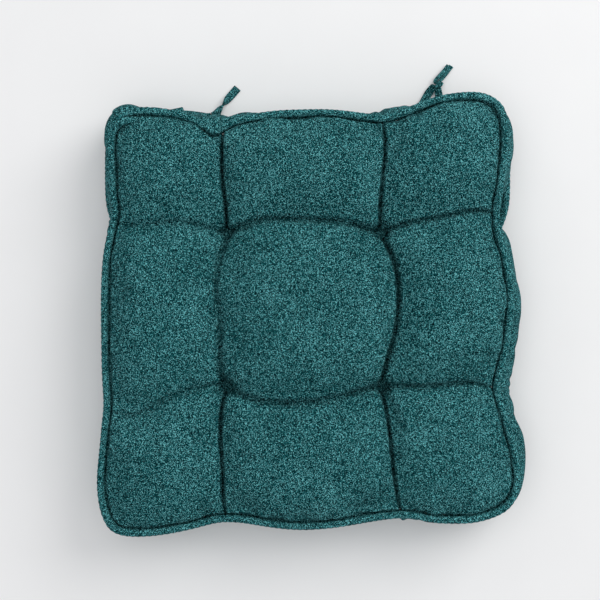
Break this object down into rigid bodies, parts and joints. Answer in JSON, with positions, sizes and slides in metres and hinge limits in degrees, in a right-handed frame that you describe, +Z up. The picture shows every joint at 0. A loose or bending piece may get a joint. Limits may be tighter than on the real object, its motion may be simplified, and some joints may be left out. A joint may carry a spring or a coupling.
{
  "type": "tufted box cushion",
  "caption": "Square tufted cushion with a piped box edge, covered tufting buttons, fibre filling and fabric ties along its back edge.",
  "frame": {"origin": "middle of the cushion's base, on the surface it lies on", "axes": "+X along the width, +Y towards the back edge with the ties, +Z up"},
  "size_m": [0.411, 0.4561, 0.0903],
  "materials": {
    "cover_fabric": "heathered twill weave",
    "piping_fabric": "heathered weave cut on the bias",
    "tie_fabric": "heathered weave, folded and sewn",
    "filler_cord": "twisted cotton",
    "fibre": "loose polyester fibre",
    "twine": "waxed polyester twine",
    "button_core": "moulded"
  },
  "bodies": {
    "root": {"top_panel": "cover_fabric", "bottom_panel": "cover_fabric", "boxing_front": "cover_fabric", "boxing_right": "cover_fabric", "boxing_back": "cover_fabric", "boxing_left": "cover_fabric", "top_piping": "piping_fabric", "bottom_piping": "piping_fabric", "top_piping_cord": "filler_cord", "bottom_piping_cord": "filler_cord", "fibre_fill": "fibre", "top_button_cover_front_left": "cover_fabric", "top_button_cover_front_right": "cover_fabric", "top_button_cover_back_left": "cover_fabric", "top_button_cover_back_right": "cover_fabric", "top_button_core_front_left": "button_core", "top_button_core_front_right": "button_core", "top_button_core_back_left": "button_core", "top_button_core_back_right": "button_core", "bottom_button_cover_front_left": "cover_fabric", "bottom_button_cover_front_right": "cover_fabric", "bottom_button_cover_back_left": "cover_fabric", "bottom_button_cover_back_right": "cover_fabric", "bottom_button_core_front_left": "button_core", "bottom_button_core_front_right": "button_core", "bottom_button_core_back_left": "button_core", "bottom_button_core_back_right": "button_core", "tufting_twine_front_left": "twine", "tufting_twine_front_right": "twine", "tufting_twine_back_left": "twine", "tufting_twine_back_right": "twine", "tie_left_1": "tie_fabric", "tie_left_2": "tie_fabric", "tie_right_1": "tie_fabric", "tie_right_2": "tie_fabric"}
  },
  "joints": []
}
